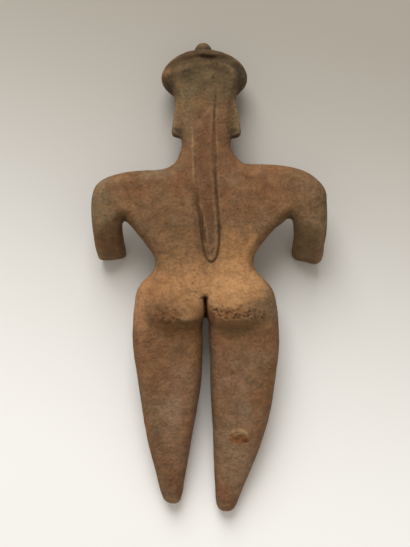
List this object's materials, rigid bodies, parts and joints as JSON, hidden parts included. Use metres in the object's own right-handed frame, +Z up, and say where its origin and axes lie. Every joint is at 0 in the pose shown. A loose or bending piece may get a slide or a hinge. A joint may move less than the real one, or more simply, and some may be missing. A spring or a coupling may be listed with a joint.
{
  "type": "flat terracotta figurine",
  "caption": "Flat hand-modelled terracotta figure of a standing woman, lying face down, with short bent arms, a rolled headdress and a long plait down the back.",
  "frame": {"origin": "middle of the bounding box, on the table that the figure lies on", "axes": "+Z up from the table, out of the figure's back; +Y towards the crown; +X to the viewer's right, looking down on the back"},
  "size_m": [0.098, 0.1994, 0.0282],
  "materials": {
    "terracotta": "unglazed fired clay, matt and slightly rough, worn and stained by burial"
  },
  "bodies": {
    "root": {"figurine": "terracotta"}
  },
  "joints": []
}
